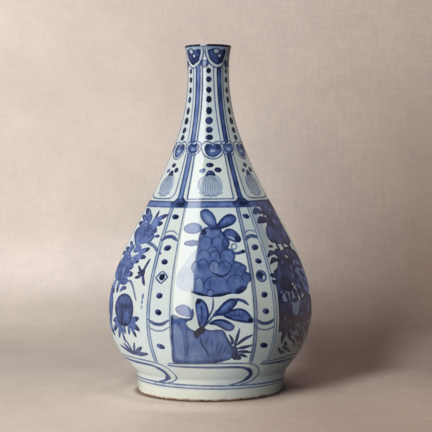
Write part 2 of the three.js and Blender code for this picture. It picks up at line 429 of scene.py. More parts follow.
class Face:
    """A panel or a corner and what lies round it, laid flat: u runs right from its middle, z up, in mm."""

    def __init__(self, painting, middle, sway=0.0):
        turn = (painting.angle - middle + math.pi) % (2 * math.pi) - math.pi
        self.painting = painting
        self.near = np.flatnonzero((np.abs(turn) < FACE_REACH) & painting.outside)
        level = painting.level[self.near]
        around = turn[self.near] * outer_radius(level)
        # A swaying hand leaves the drawing in slow waves, four to fifteen centimetres long
        self.u = around + sway * (np.sin(level / 11 + 9 * sway) + 0.6 * np.sin(around / 7 + level / 19))
        self.z = level + sway * np.sin(around / 9 - 7 * sway + level / 23)

    def around(self, path, margin):
        """The points near a path, which are the only ones that a stroke along it can reach."""
        low = path.min(0) - margin
        high = path.max(0) + margin
        inside = (self.u > low[0]) & (self.u < high[0]) & (self.z > low[1]) & (self.z < high[1])
        picked = np.flatnonzero(inside)
        return picked, self.u[picked], self.z[picked]

    def lay(self, layer, picked, depth, tone):
        """Lays a stroke on what is there: its own tone holds wherever it covers."""
        at = self.near[picked]
        old = self.painting.depth[layer][at]
        covers = depth > np.minimum(old, 0)
        self.painting.tone[layer][at] = np.where(covers, tone, self.painting.tone[layer][at])
        self.painting.depth[layer][at] = np.maximum(old, depth)

    def along(self, path, half_widths):
        """How deep the points near a brush stroke lie inside it."""
        picked, u, z = self.around(path, CLEAR)
        depth = np.full(u.shape, -CLEAR)
        for start, end, wide, next_wide in zip(path, path[1:], half_widths, half_widths[1:]):
            run = end - start
            passed = (u - start[0]) * run[0] + (z - start[1]) * run[1]
            share = np.clip(passed / max(run @ run, TINY), 0, 1)
            gap = np.hypot(u - start[0] - share * run[0], z - start[1] - share * run[1])
            depth = np.maximum(depth, wide + share * (next_wide - wide) - gap)
        return picked, depth

    def within(self, path):
        """How deep the points near a closed outline lie inside it."""
        picked, depth = self.along(path, np.zeros(len(path)))
        u, z = self.u[picked], self.z[picked]
        inside = np.zeros(u.shape, bool)
        for start, end in zip(path, path[1:]):
            crosses = (start[1] > z) != (end[1] > z)
            rise = end[1] - start[1]
            inside ^= crosses & (u < start[0] + (z - start[1]) * (end[0] - start[0]) / (rise or TINY))
        return picked, np.where(inside, -depth, depth)

    def line(self, points, width, tone=DEEP, tip=0.5, layer="line"):
        """A brush line that thins towards its ends."""
        path = smooth_path(points)
        share = np.linspace(0, 1, len(path))
        full = tip + (1 - tip) * np.minimum(1, 5 * np.minimum(share, 1 - share))
        self.lay(layer, *self.along(path, width / 2 * full), tone)

    def leaf(self, points, width, tone=DEEP, slimness=0.8):
        """One press of a loaded brush: full in the middle, pointed at both ends and blunter if less slim."""
        path = smooth_path(points)
        full = np.sin(math.pi * np.linspace(0.06, 0.94, len(path))) ** slimness
        self.lay("wash", *self.along(path, width / 2 * full), tone)

    def tipped_leaf(self, points, width, tone=0.5, tip_tone=0.78):
        """A blunt leaf brushed from its stalk, with the cobalt gathered in its tip."""
        self.leaf(points, width, tone, slimness=0.45)
        path = smooth_path(points)
        start = path[len(path) * 2 // 3]
        run = path[-1] - start
        turn = math.degrees(math.atan2(run[1], run[0]))
        self.dab(*(start + run * 0.5), np.hypot(*run) * 0.52, width * 0.38, tip_tone, turn)

    def patch(self, points, tone=MID, rim=0.0, rim_tone=DEEP):
        """A washed area, with a drawn outline if it has a rim."""
        path = smooth_path(points, closed=True)
        self.lay("wash", *self.within(path), tone)
        if rim:
            self.outline(points, rim, rim_tone)

    def outline(self, points, width, tone=DEEP):
        path = smooth_path(points, closed=True)
        self.lay("line", *self.along(path, np.full(len(path), width / 2)), tone)

    def arc(self, u, z, half_width, half_height, turn=0.0, start=0.0, end=360.0):
        """Points on an oval between two angles from its right end."""
        count = max(4, round(abs(end - start) / ARC_STEP) + 1)
        angles = np.radians(np.linspace(start, end, count))
        along = half_width * np.cos(angles)
        across = half_height * np.sin(angles)
        lean = math.radians(turn)
        return np.stack([u + along * math.cos(lean) - across * math.sin(lean),
                         z + along * math.sin(lean) + across * math.cos(lean)], axis=1)

    def oval(self, *shape):
        """Points right round an oval."""
        return self.arc(*shape)[:-1]

    def dab(self, u, z, half_width, half_height, tone=DEEP, turn=0.0):
        """A short press of the brush."""
        path = smooth_path(self.oval(u, z, half_width, half_height, turn), closed=True, per_span=3)
        self.lay("wash", *self.within(path), tone)

    def petal(self, u, z, half_width, half_height, tone=MID):
        """A rounded petal: a wash with a darker line round its upper edge."""
        self.dab(u, z, half_width, half_height, tone)
        self.bow(u, z, half_width, half_height, start=-25, end=205, width=1.3, tone=0.72)

    def bow(self, u, z, half_width, half_height, start, end, width, tone=DEEP):
        """A brush line along part of an oval."""
        self.line(self.arc(u, z, half_width, half_height, 0, start, end), width, tone)

    def leave_white(self, points):
        """Takes the paint off an area, as where the painter goes round it."""
        picked, depth = self.within(smooth_path(points, closed=True))
        at = self.near[picked]
        for layer in LAYERS:
            self.painting.depth[layer][at] = np.minimum(self.painting.depth[layer][at], -depth)


class Painting:
    """The cobalt on a section: how deep each point lies in a wash and in a line, and how strong they are."""

    def __init__(self, mesh):
        x, y, z = places_of(mesh).astype(float).T / MM
        self.mesh = mesh
        self.angle = np.arctan2(x, -y)
        self.level = z
        wall = np.interp(z, OUTLINE_LEVELS, WALL_THICKNESS)
        round_radius = np.hypot(x, y) / pressed(self.angle, z)
        self.outside = round_radius > outer_radius(np.clip(z, 0, MOUTH_LEVEL)) - wall / 2
        self.depth = {layer: np.full(z.shape, -CLEAR) for layer in LAYERS}
        self.tone = {layer: np.zeros(z.shape) for layer in LAYERS}

    def panel(self, number, sway=0.0):
        return Face(self, number * PANEL_PITCH, sway)

    def corner(self, number, sway=0.0):
        return Face(self, (number + 0.5) * PANEL_PITCH, sway)

    def fire(self):
        """Fixes the painting on the mesh for the material to read."""
        for layer in LAYERS:
            for kind, values in ((f"{layer}_depth", self.depth[layer]), (f"{layer}_tone", self.tone[layer])):
                attribute = self.mesh.attributes.new(kind, "FLOAT", "POINT")
                attribute.data.foreach_set("value", values.astype(np.float32))


porcelain, shader, place = new_material("painted_porcelain")
glaze, glaze_roughness, glaze_height = place_coat(shader, place, *BODY_GLAZE)


def painted(name):
    return Value(add_node(porcelain.node_tree, "ShaderNodeAttribute", attribute_name=name).outputs["Fac"])


# The edges tremble, the cobalt gathers along the edge of a wash, and the brush leaves streaks and blotches
tremble = noise(place, 380, 2) * 0.7 - 0.35
wash_depth = painted("wash_depth") + tremble
line_depth = painted("line_depth") + tremble * 0.55
gathered = wash_depth.eased(0.2, 1.7, 1.3, 1.0)
streaks = noise(stretched(place, 1, 1, 0.22), 300, 3, 0.6).eased(0.28, 0.72, 0.92, 1.08)
blotches = noise(place, 75, 3, 0.6).eased(0.3, 0.7, 0.86, 1.14)
heaped = noise(place, 620, 2).eased(0.55, 0.8, 1.0, 1.25)
wash_ink = wash_depth.eased(-0.4, 0.4) * painted("wash_tone") * gathered * streaks * blotches
line_ink = line_depth.eased(-0.4, 0.35) * painted("line_tone") * heaped * blotches


def cobalt(ink, tones):
    """The colour that a strength of cobalt gives under the glaze."""
    ramp = add_node(ink.tree, "ShaderNodeValToRGB", {"Fac": ink})
    marks = ramp.color_ramp.elements
    marks.remove(marks[1])
    marks[0].color = (1, 1, 1, 1)
    for strength, colour in tones:
        marks.new(strength).color = (*colour, 1)
    return Value(ramp.outputs["Color"])


WASH_TONES = ((0.2, (0.63, 0.688, 0.86)), (0.4, (0.285, 0.37, 0.68)), (0.58, (0.135, 0.205, 0.53)),
              (0.78, (0.05, 0.068, 0.195)), (1.0, (0.016, 0.02, 0.05)))
LINE_TONES = ((0.25, (0.5, 0.56, 0.73)), (0.5, (0.2, 0.25, 0.44)), (0.7, (0.062, 0.098, 0.295)),
              (0.85, (0.033, 0.05, 0.165)), (1.0, (0.014, 0.018, 0.05)))
ink_colour = mix(1.0, cobalt(wash_ink, WASH_TONES), cobalt(line_ink, LINE_TONES), "DARKEN")
fill(shader, {"Base Color": mix(1.0, glaze, ink_colour, "MULTIPLY"), "Roughness": glaze_roughness,
              "Normal": bump(glaze_height, GLAZE_RELIEF, GLAZE_DEPTH)})


def paint_flowering_rock(face):
    """A great flower over a rock, with leaves on both sides and a tuft of grass."""
    # The flower head: one wash, painted pale on its left as a painted highlight where the softbox's
    # reflection also falls, then its petals row by row from the top
    face.patch([(-13, 90.4), (-18, 90.6), (-25, 91.5), (-28.5, 95), (-28.5, 103), (-24, 110), (-19, 116.5),
                (-14, 122), (-10, 122), (-11, 106)], 0.12)
    for petal in ((-22, 96.6, 5, 4.2), (-18.6, 106, 4.4, 4.6), (-24.6, 102, 3, 3.8)):
        face.dab(*petal, 0.17)
    right_edge = [(7, 138.5), (9.5, 135), (11.5, 131), (14.5, 128), (13.8, 123.5), (18, 122), (19.3, 117),
                  (18.5, 114), (24, 112), (28, 109), (26.5, 105.5), (30, 104.3), (32.6, 100.5), (29.5, 96.5),
                  (28, 92)]
    face.patch([(-4, 139.5), (2, 139), *right_edge, (23, 88.5), (16, 88.5), (8, 87), (0, 86.2), (-6, 87.2),
                (-14.6, 90), (-15, 98), (-14, 108), (-13.4, 116), (-12, 123), (-11, 128), (-9.5, 133),
                (-8, 137.5)], 0.58)
    face.line([(-12, 126), (-9.6, 133), (-8, 137.5), (-4, 139.8), (2, 139.4), *right_edge], 1.2, 0.72)
    for petal in (
            (-2.5, 135.8, 4.2, 3.6, 0.54), (4, 135.8, 5, 3.9, 0.57), (9.6, 132.6, 3, 3.4, 0.62),
            (-4.4, 128, 5, 5, 0.52), (5, 127.6, 5.4, 5, 0.56), (11.8, 127, 3.2, 4.3, 0.64),
            (1, 121.4, 4.4, 3.7, 0.55), (-6, 117.6, 4.8, 5, 0.54), (3.3, 117.2, 4.6, 4.6, 0.53),
            (12.6, 117.6, 5.8, 5.2, 0.57), (-13, 108.5, 3.4, 5, 0.46), (-7, 109.4, 4.8, 6, 0.57),
            (20.6, 107, 4.6, 5.6, 0.59), (25.4, 107.4, 2.8, 3.2, 0.62), (11, 108.6, 5.4, 5.3, 0.57),
            (2.2, 109.2, 4.2, 5, 0.46), (28.6, 100.6, 4.2, 3.4, 0.62), (19.6, 97, 6.8, 6.2, 0.6),
            (-10.4, 95.6, 3.4, 5.8, 0.46), (3.4, 94.6, 10, 7.8, 0.58)):
        face.petal(*petal)
    face.line([(-1.8, 107), (1.5, 104.5), (6, 103), (9.5, 102.4), (13, 103.8), (16, 107)], 1.5, DARK)
    for fold in ([(-2, 100), (-1.4, 96), (-2, 92)], [(2, 101), (2.6, 97), (2, 93)],
                 [(7, 100), (7.6, 96), (7, 92)], [(1.4, 112), (1.8, 109), (1.4, 106.5)],
                 [(16, 99), (19, 96.5), (20, 92)], [(22, 100), (24, 97), (24, 93)]):
        face.line(fold, 1.1, 0.68, 0.3)
    face.petal(-1.4, 89.4, 2.6, 2.6, 0.44)
    face.leaf([(-17, 90.6), (-10, 88.6), (-3, 87.4)], 2.4, 0.78)
    face.leaf([(-1, 87), (7, 88), (16, 89.6)], 2.8, 0.8)
    face.dab(23.6, 91.6, 5, 2.5, 0.84, 28)
    face.dab(3, 138.6, 3.8, 1.3, DEEP)
    face.dab(-6.2, 136.4, 2.5, 2.4, DARK)
    # Leaves around the flower head
    face.patch([(-7.5, 153), (-3, 153.8), (1, 151), (3.6, 146.5), (4.4, 141), (1, 140.6), (-3, 142.6),
                (-6.4, 146), (-8.2, 150)], 0.52, 1.5, 0.76)
    face.leaf([(-5, 151), (-2, 147.5), (0.6, 143.5)], 3.2, 0.4)
    face.patch([(5, 140.6), (8.6, 145.6), (13.6, 149.4), (18, 149.6), (20.6, 146.8), (18.6, 143.2),
                (12.6, 140.6), (7.4, 139.4)], 0.68, 1.4, 0.84)
    face.leaf([(8, 142), (12.5, 145), (17, 147)], 2.4, 0.56)
    face.patch([(10.5, 135.6), (13, 138), (17, 138.2), (21, 135.8), (24.2, 131), (23, 128.8), (19, 129.3),
                (14, 131.6), (11, 133.6)], 0.65, 1.3, 0.82)
    face.leaf([(12.6, 132.8), (16.4, 131.8), (20.4, 130.8)], 2.6, 0.3)
    face.dab(21.8, 131, 2.6, 1.7, DARK, -40)
    face.outline(face.oval(19, 125, 2.1, 2.1), 1.2, 0.46)
    face.line([(17.6, 120), (22, 119.8), (27, 121.2)], 2.2, DEEP)
    face.dab(26, 121, 1.8, 1.4, DARK)
    face.dab(-15, 139.5, 7.5, 4.3, 0.6, 4)
    face.dab(-16, 128, 6.5, 2.4, 0.56, 4)
    # The stem with its leaves
    face.line([(1, 86), (0.9, 81), (0.2, 76.5), (-2.5, 71.5), (-5.5, 66.5), (-10, 61)], 1.3, DEEP)
    face.line([(3.6, 76), (0.4, 71), (-3.5, 66.5), (-8, 61.5)], 1.3, DEEP)
    face.patch([(-12.6, 83), (-10.5, 84.4), (-7, 82.6), (-4.5, 78.5), (-3.5, 72), (-5.3, 66), (-8.6, 62),
                (-11.6, 67), (-13.2, 75)], 0.57, 1.7, 0.85)
    face.line([(-9.3, 80), (-8.4, 74), (-8.8, 66)], 1.8, DEEP)
    face.dab(-11, 82.6, 1.9, 1.6, DARK, 30)
    face.patch([(3.4, 72.6), (5.6, 76.6), (9.6, 81), (14.6, 84), (19.4, 84), (20, 81.6), (16.4, 77.2),
                (10.4, 73.4)], 0.66, 1.4, 0.85)
    face.leaf([(8, 76), (12, 79), (16, 81.6)], 2.4, 0.5)
    face.line([(17, 83.6), (22, 83.9), (26, 82.6), (29.4, 80)], 2.3, DEEP)
    face.patch([(10, 72), (15, 74.9), (22, 76.5), (27.4, 74.7), (31.4, 70), (32.7, 66.7), (29, 66.2),
                (23, 67.3), (16, 69)], 0.6, 1.6, 0.86)
    for notch in range(5):
        face.line([(15.4 + 3 * notch, 70.8), (16.6 + 3 * notch, 73.2)], 1.2, DEEP)
    face.line([(14, 71.4), (21, 71.2), (29, 68.5)], 1.1, DEEP)
    face.dab(31, 67.6, 2.2, 1.6, DARK, -40)
    face.line([(0.5, 71), (5, 72.3), (11, 72)], 1.4, DEEP)
    face.patch([(-2, 65.6), (3, 68), (9, 68.2), (14, 66.2), (17.8, 63), (16, 60.2), (12, 60.3), (8, 62.3),
                (3, 64.8)], 0.66, 1.4, 0.85)
    face.leaf([(3, 66.6), (7, 66.4), (11, 64.6)], 2, 0.5)
    face.patch([(-30, 77.6), (-26, 80.4), (-21, 80), (-17.3, 76.6), (-16.3, 71.5), (-21, 70.8), (-28, 73.5)],
               0.6)
    # The rock, washed over in broad strokes
    face.patch([(-32.5, 71), (-27, 70.3), (-22, 68.5), (-17.5, 62.5), (-13, 57), (-8, 60.3), (-2, 60.5),
                (4, 60), (9, 59), (12.5, 53), (16, 47), (17.8, 41), (15, 37), (7, 34.5), (-4, 32.8),
                (-18, 32.6), (-30, 33.2), (-32.3, 38), (-32.6, 54)], 0.59, 1.5, 0.78)
    face.patch([(-31, 66), (-26, 61), (-23.6, 49), (-23.5, 38), (-27, 35.6), (-30.4, 43), (-31.4, 56)], 0.42)
    face.patch([(-20, 58), (-13, 52), (-6, 43), (-4.4, 37), (-13, 36), (-20, 38)], 0.52)
    face.patch([(-31.5, 36.4), (-20, 35), (-8, 35.4), (6, 36.6), (12, 38.6), (8, 35), (-4, 33.3), (-18, 33),
                (-30, 33.6)], 0.7)
    face.patch([(9, 58), (13, 52), (16.5, 46), (17, 40), (12, 41), (12.5, 48), (9.5, 54)], 0.7)
    face.line([(-10.5, 56), (-9.5, 51), (-7, 46), (-4.2, 42), (-3.2, 37)], 1.7, 0.84, 0.4)
    face.line([(-21, 66), (-21, 55), (-20.2, 47), (-21, 36)], 1.8, 0.68, 0.4)
    for crack in ([(9.5, 51.5), (8, 46.5), (6.3, 42)], [(5, 52), (4, 47), (3, 43)],
                  [(0.5, 54), (-0.4, 49), (-1, 45)], [(11.4, 48), (10.4, 44), (8.6, 41)],
                  [(-4, 55), (-4.8, 51), (-4.6, 48)]):
        face.line(crack, 1.2, 0.74, 0.3)
    face.dab(-10.5, 59.3, 5.2, 2.8, DARK, 28)
    face.dab(-13, 56.2, 2.4, 2.4, DARK)
    face.line([(-24, 69.5), (-18, 69), (-16, 73), (-16.3, 77)], 1.8, DEEP)
    # Grass, and the leaves that are left white
    face.dab(18.3, 41.5, 2.8, 6.2, 0.84)
    face.dab(20.5, 37, 3.6, 1.7, 0.84, -8)
    for blade in ([(18, 46), (20.5, 54), (22.7, 61.5)], [(19, 47), (26, 52.5), (33, 56)],
                  [(20, 45), (26, 45.8), (32.5, 47.6)], [(20, 42), (26, 42.3), (32, 41.4)],
                  [(20, 40), (24.5, 39.3), (29, 37.4)], [(16.5, 48), (16.6, 52), (14, 56.4)]):
        face.leaf(blade, 2.5, 0.72)
    face.leave_white([(-21.5, 66.5), (-18.5, 66.8), (-16, 63.5), (-15, 60.3), (-18, 61.5), (-20.5, 64)])
    face.leave_white([(-6, 62.6), (-2.5, 63.8), (1.5, 62.4), (3, 60.8), (-1, 60.3), (-4.5, 61)])
    face.leave_white([(-16.3, 87), (-14.3, 87), (-13.6, 76), (-11.2, 63), (-12.8, 63.4), (-15, 73)])


def paint_fruit_and_insect(face):
    """A spray of blossom, an insect and a round fruit over grass."""
    # Leaves round the upper blossom, then round the lower one and down the edge of the panel
    for stroke, width in (
            ([(-3, 143), (-8, 149), (-18, 153.4)], 6), ([(-9, 145), (-14, 146.4), (-19.6, 148.4)], 4),
            ([(-6, 141), (-13, 141.6), (-20.4, 142.4)], 4.4), ([(3.6, 141), (5.6, 145.6), (6.6, 152)], 5),
            ([(3, 142), (12, 146.4), (21.4, 149.6)], 4.8), ([(3, 140.6), (11, 142.4), (19.6, 142.8)], 4.6),
            ([(2, 138), (9, 138.2), (15.8, 136.6)], 5.6), ([(17, 132.4), (20, 133), (23.6, 132.8)], 2.6),
            ([(-13, 122), (-17, 124.4), (-21.6, 126.6)], 3.6), ([(-14, 118), (-18, 120), (-25, 121.4)], 4.4),
            ([(-18, 115), (-22, 116.6), (-28, 117.6)], 4.4), ([(-16, 116), (-14, 120), (-11, 124)], 3.4),
            ([(1, 119.6), (9, 120.8), (16.4, 122.6)], 4.6), ([(-7, 114.2), (4, 115.8), (15, 115.8)], 4.6),
            ([(-7, 111), (0, 111.4), (6.6, 112)], 3.2), ([(-10, 100.6), (-4, 101.4), (2.4, 101.4)], 5),
            ([(-14, 87), (-9, 89.6), (-3.4, 90)], 3.6), ([(-18, 95), (-19.4, 91), (-19.6, 86)], 5.6),
            ([(-26, 95), (-28, 90), (-26, 85)], 5), ([(-31, 62), (-30, 56), (-27, 49.6)], 5.4)):
        face.tipped_leaf(stroke, width)
    face.leaf([(-33, 90), (-29, 76), (-29, 60)], 8.6, 0.66)
    for *press, turn in ((-4, 145.6, 5, 4, -40), (-3.5, 121.6, 6.6, 3, 10), (-4, 107.6, 4.4, 2.6, 0),
                         (-10, 95.2, 8, 2.9, 4)):
        face.dab(*press, 0.58, turn)
    # The two blossoms, petal by petal, and their branches
    face.patch([(-21, 134.4), (-17, 138.6), (-10, 141.4), (-3, 142), (4, 140.6), (10, 137.4), (15.4, 133),
                (14, 129), (7, 127.4), (-2, 125.6), (-9, 124.4), (-15, 128.6)], 0.51, 1.1, 0.66)
    face.patch([(-30.5, 101), (-28.6, 109), (-21.6, 115.4), (-13, 116.4), (-6.6, 111.6), (-5.4, 105),
                (-9.6, 99), (-17.6, 95.8), (-26, 95.6)], 0.51, 1.1, 0.66)
    for petal in (
            (-15.5, 134, 4.4, 4, 0.6), (-8.4, 136.4, 4.2, 3.6, 0.68), (-1, 136.8, 4.4, 3.8, 0.68),
            (6.5, 134.6, 4.6, 4, 0.58), (11.4, 131.4, 3.2, 2.8, 0.55), (-11, 129.8, 4.4, 3.8, 0.58),
            (-3.4, 130.6, 4.4, 3.8, 0.64), (3.6, 130, 4, 3, 0.56), (-24.4, 104, 4, 4.6, 0.62),
            (-18.4, 110.4, 4.4, 4.2, 0.6), (-11.6, 109.4, 3.8, 4.2, 0.55), (-16.4, 103, 4.8, 4.4, 0.54),
            (-10, 102.8, 3, 3.6, 0.64), (-21, 99.2, 4.2, 3, 0.66)):
        face.petal(*petal)
    face.line([(6, 127.6), (13, 127), (21, 125.2), (27, 122.6), (33, 119.4)], 2.6, 0.54)
    face.line([(-4, 96), (3, 95.6), (9, 91.4), (13.6, 86), (17.4, 81.6)], 2.3, 0.5)
    # The insect with its wings and feelers
    for stroke, width in (
            ([(18.6, 105), (20.4, 109), (23, 114.6)], 3.6), ([(19.6, 103), (21.6, 99), (25.6, 94.8)], 3.8),
            ([(18, 104.6), (14, 105.4), (9, 108.4)], 2.8), ([(17.6, 103.6), (14, 103.2), (10.6, 103.4)], 2),
            ([(18, 102.6), (14.6, 100.6), (8.4, 99.2)], 3)):
        face.tipped_leaf(stroke, width, 0.68, 0.84)
    face.dab(18.8, 104, 3.2, 3, 0.8, -20)
    # The fruit with its leaves
    for stroke, width in (
            ([(9, 64), (15, 66), (22.4, 67.6)], 4.8), ([(8, 62.6), (14, 61.6), (22.4, 58.4)], 5.8),
            ([(9, 61.4), (12, 57), (15.6, 52.6)], 5.2), ([(5.4, 61), (5.4, 58), (4, 53.4)], 4.8),
            ([(-3, 60), (-3, 57), (-3, 53.6)], 4.4), ([(-8.6, 60), (-8, 53), (-7.4, 45.6)], 5),
            ([(-11, 60), (-13, 55), (-17.6, 48.6)], 4.8), ([(-13, 61), (-18, 58.6), (-24.4, 53.8)], 5.4),
            ([(-14, 63.4), (-18, 63.2), (-23.8, 61.6)], 4.2)):
        face.tipped_leaf(stroke, width, 0.54)
    face.patch([(-19.6, 72), (-18, 78), (-13, 82.6), (-5, 85), (3, 84.6), (9.4, 81.6), (13.2, 76.4), (13, 70),
                (9.6, 64.4), (4, 60.6), (-4, 59.6), (-11, 60.4), (-16, 64)], 0.74, 1.2, 0.8)
    face.dab(-1, 80.4, 10.6, 3.2, 0.69, -4)
    face.leaf([(-14, 77.4), (-2, 75.4), (12.4, 76)], 3.6, 0.78)
    face.leaf([(-3, 74), (-3, 67), (-4, 61)], 3, 0.71)
    face.dab(-10.6, 68.4, 4, 4.6, 0.66)
    face.dab(4, 67, 3.6, 4.6, 0.68)
    # Grass at the foot of the panel, and a few faint marks
    for blade in ([(0, 36), (-10, 38), (-22, 41)], [(-1, 37), (-7, 40.4), (-13, 43.6)],
                  [(0, 37), (-2, 42), (-5, 47)], [(2, 37.6), (6, 42), (10, 46.6)],
                  [(3, 37), (12, 40.4), (20.6, 44)], [(3, 36.2), (13, 37.2), (26, 39)]):
        face.leaf(blade, 3.4, 0.64)
    face.dab(-1, 37, 5, 1.9, 0.76)
    for z, half_height, tone in ((85.6, 2.4, 0.5), (81, 1.8, 0.36), (77, 1.4, 0.3)):
        face.dab(26.6, z, 1.4, half_height, tone, 10)


def paint_garden(face):
    """A thicket of blossom, leaves and rocks that fills the panel, with small gaps, over grass."""
    # Thin washes in the gaps, the hanging blossom, then the great mass of blossom, leaves and rocks under it
    face.patch([(-19, 156), (-8, 156), (-14, 146), (-17, 135), (-18, 128), (-24, 121), (-29, 122),
                (-26, 138)], 0.14)
    face.patch([(8, 104), (18, 106), (29, 104), (32, 92), (30, 83), (18, 82), (8, 86), (2, 91)], 0.47)
    face.patch([(-9, 78), (-8.8, 70), (-1, 66), (5, 69), (8, 78), (0, 82)], 0.36)
    face.patch([(-24, 86), (-12, 88), (-2, 90), (6, 84), (-2, 79), (-12, 79), (-24, 79)], 0.32)
    face.patch([(-12, 56), (2, 61), (18, 60), (30, 60), (28, 50), (12, 46), (-4, 50)], 0.3)
    face.patch([(-6, 157), (4, 158), (14, 158), (20, 156), (20.5, 146), (22, 136), (24, 126), (16, 123),
                (8, 124.4), (0, 124.6), (-8, 126), (-14, 127), (-16.5, 132), (-13, 138), (-7, 141.5),
                (-9, 146), (-5, 151)], 0.78)
    face.patch([(-14, 120.5), (-8, 121.5), (-2, 119.5), (4, 121), (11, 122), (18, 120), (25, 117.5),
                (28, 111), (29, 104), (23, 103), (17, 105), (12, 103.5), (9.5, 99), (11, 94.5), (8, 91),
                (2, 91.5), (-3, 88.5), (-8, 86), (-12, 87), (-16, 88), (-20, 86.5), (-23.5, 84), (-23, 80.5),
                (-18, 79.5), (-12, 80), (-9, 77), (-8.6, 71), (-6, 67.5), (-1, 66.5), (3.5, 68.5), (5, 73),
                (8, 77.5), (14, 80), (20, 82.5), (27, 82.5), (33, 79), (34, 68), (30, 60.5), (23, 61),
                (17, 59.5), (11, 61.5), (5, 62.5), (-1, 60.5), (-6, 59.5), (-10, 56.5), (-15, 55.5),
                (-18, 51), (-22, 47.5), (-24.5, 51), (-26, 56), (-31, 56.5), (-31.5, 66), (-31.4, 78),
                (-30, 88), (-30, 94), (-28, 100), (-27, 104.5), (-21, 106.5), (-17, 110), (-13, 113.5),
                (-15.5, 117)], 0.82)
    for petal in (
            (-10, 132, 4.4, 4.8, 0.72), (-2, 136, 5, 4.6, 0.7), (6, 133.6, 5, 4.6, 0.72),
            (-3.4, 128.6, 4.6, 3.8, 0.74), (4.6, 127.6, 4.6, 3.6, 0.76), (13, 137, 5, 5, 0.74),
            (10, 147, 5, 5, 0.79), (3, 151, 4.4, 4, 0.76), (-8, 115, 4.6, 4.6, 0.8), (8, 113, 5, 4.6, 0.76),
            (18, 112, 5, 4.6, 0.79), (-20, 100, 5, 5.4, 0.76), (-11, 106, 5.4, 5, 0.8),
            (-1, 107, 5.4, 5, 0.79), (-13, 95, 5.4, 5.4, 0.79), (-2, 97.6, 5.6, 5.4, 0.8),
            (-26, 91, 3.6, 4.4, 0.8), (-25, 73, 5, 6, 0.76), (-15, 71, 5, 6.4, 0.8), (-22, 60, 6, 4.4, 0.8),
            (12, 72, 5.4, 6, 0.74), (22, 74, 6, 6.6, 0.72), (18, 65, 6, 4.4, 0.79), (2, 64, 4.6, 2.8, 0.79)):
        face.petal(*petal)
    for crack in ([(-27, 79), (-25, 70), (-27, 59)], [(-12, 76), (-11.6, 68), (-15, 60)],
                  [(14, 78), (16, 70), (14, 62)]):
        face.line(crack, 1.6, DARK)
    for *press, turn in (
            (8, 143, 2.6, 1, -30), (15, 142, 2, 1, 40), (9, 118, 3.2, 0.9, 20), (17, 116, 3, 1, -35),
            (14, 109, 3.2, 1, 30), (22, 108, 3, 1.1, -30), (-8, 110.6, 3, 0.8, 15), (5, 106, 2.8, 0.9, -40),
            (3, 98.6, 2.4, 0.9, 35), (-24, 87.4, 2.2, 0.9, -20), (-12, 75, 0.9, 3, 10), (-22, 66, 0.9, 3, -8),
            (16, 76.4, 3.2, 0.9, -20), (25, 70, 1, 3, 10), (9, 66.6, 3, 0.9, 15), (-13, 62, 2.8, 0.9, -25),
            (12, 152, 3, 0.9, -15), (5, 155, 2.8, 0.9, 25), (17, 149, 1, 2.6, 10), (-7, 137.6, 2.8, 0.8, 30),
            (16, 131, 1, 3, -12), (24, 101, 2.6, 1.6, 20), (17, 99, 2.4, 1.4, -30), (20, 91, 3, 1.4, -35)):
        face.dab(*press, 0.4, turn)
    for gap in (
            (-25, 108.4, 3, 1.3, 25), (2.6, 114.4, 3.4, 0.8, -25), (-10.4, 123.6, 2.6, 1.4, 8),
            (-4, 147.6, 1.8, 0.9, 20), (-27.6, 97.4, 1.2, 1, 0), (-1, 92.4, 2.4, 0.8, 12)):
        face.leave_white(face.oval(*gap))
    # Leaves that stand out at the edges and lie across the gaps
    for stroke, width in (
            ([(-20.6, 150.6), (-14, 152.4), (-5, 150.6)], 5.4), ([(-21, 143), (-13, 145.2), (-5, 144)], 5.6),
            ([(-21, 123.4), (-17.6, 124), (-14, 123.2)], 2.4),
            ([(-28.4, 116), (-21, 119), (-12, 117.4)], 3.8),
            ([(-28.6, 110.4), (-21, 113.4), (-12, 112)], 3.8),
            ([(-7.6, 125), (-5.6, 122.6), (-4.6, 119.6)], 3.6), ([(2, 125), (4.6, 122.8), (6, 120)], 4),
            ([(14, 124.6), (17, 122), (19, 119)], 4.4), ([(-33, 101.8), (-30, 101.4), (-27, 100)], 3.6),
            ([(-33, 96.8), (-30, 96), (-26, 96.6)], 3.6), ([(8, 99.6), (12, 98), (15.6, 94.6)], 4.6),
            ([(12.6, 93), (16, 91), (20, 87.4)], 5), ([(19, 101), (23, 99), (27, 95.4)], 4.4),
            ([(21, 94), (25, 91.6), (28, 88)], 4), ([(4, 89.6), (7.4, 88.4), (10.4, 85.6)], 3.2),
            ([(-9, 79.4), (-2, 79), (5, 79.6)], 3.6), ([(5, 87), (9.6, 82.6), (12, 78)], 4.2),
            ([(10, 87), (16, 85.4), (25, 84)], 3), ([(-17.4, 86.4), (-15, 83), (-13.4, 79.6)], 5),
            ([(-3.4, 88.4), (0.6, 84.6), (4.6, 79.4)], 5.6), ([(-10, 88), (-8.6, 83.6), (-9, 79)], 4.4),
            ([(-22, 57), (-22.4, 52), (-21.6, 46.4)], 5.8), ([(-17, 57.4), (-12, 52), (-5, 47)], 5),
            ([(-11, 60), (-7, 57.4), (-0.6, 54.6)], 5.2), ([(-17, 46), (-14, 44), (-10.6, 43)], 4.8),
            ([(10.6, 53), (13.4, 49.4), (16.4, 45)], 5), ([(18, 47.6), (20.6, 44.8), (22.8, 41)], 4.6),
            ([(19, 61), (24, 55), (27, 48.6)], 5.6), ([(5, 63), (9, 59.6), (12.4, 54.6)], 4.6)):
        face.leaf(stroke, width, 0.84)
